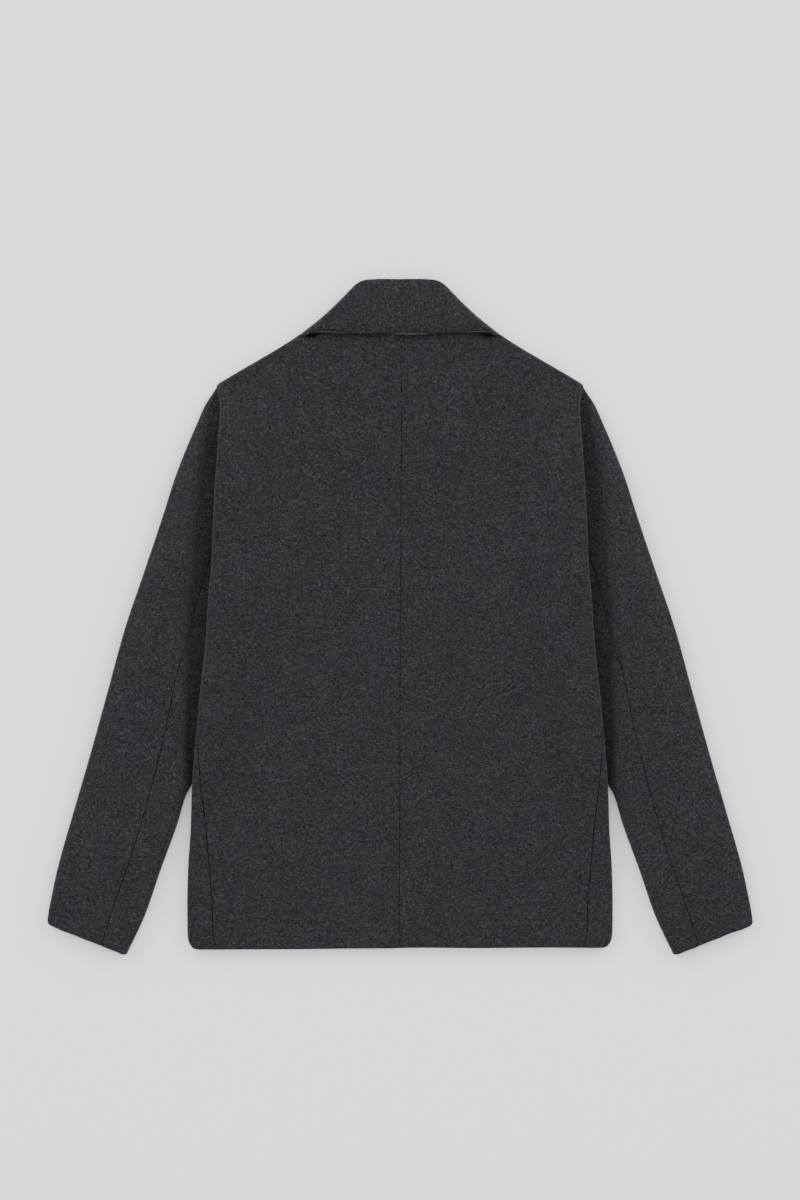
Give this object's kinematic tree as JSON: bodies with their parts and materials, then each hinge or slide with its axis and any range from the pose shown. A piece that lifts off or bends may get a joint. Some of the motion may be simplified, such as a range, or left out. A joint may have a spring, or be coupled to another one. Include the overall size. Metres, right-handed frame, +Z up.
{
  "type": "wool jacket laid flat",
  "caption": "Plain wool jacket with a turned-down collar and set-in sleeves, laid flat and face down so that its back shows",
  "frame": {"origin": "centre of the jacket's outline on the surface that it lies on", "axes": "+Y from hem to collar, +X to the wearer's right, which is also the right seen from above, +Z up off the surface"},
  "size_m": [0.8112, 0.7759, 0.0167],
  "materials": {
    "charcoal_wool": "heathered charcoal melton, matte and slightly fuzzy",
    "under_collar_wool": "plain charcoal under-collar felt"
  },
  "bodies": {
    "root": {"back_left": "charcoal_wool", "back_right": "charcoal_wool", "front_left": "charcoal_wool", "front_right": "charcoal_wool", "top_sleeve_left": "charcoal_wool", "top_sleeve_right": "charcoal_wool", "under_sleeve_left": "charcoal_wool", "under_sleeve_right": "charcoal_wool", "collar_upper": "charcoal_wool", "collar_under": "under_collar_wool"}
  },
  "joints": []
}
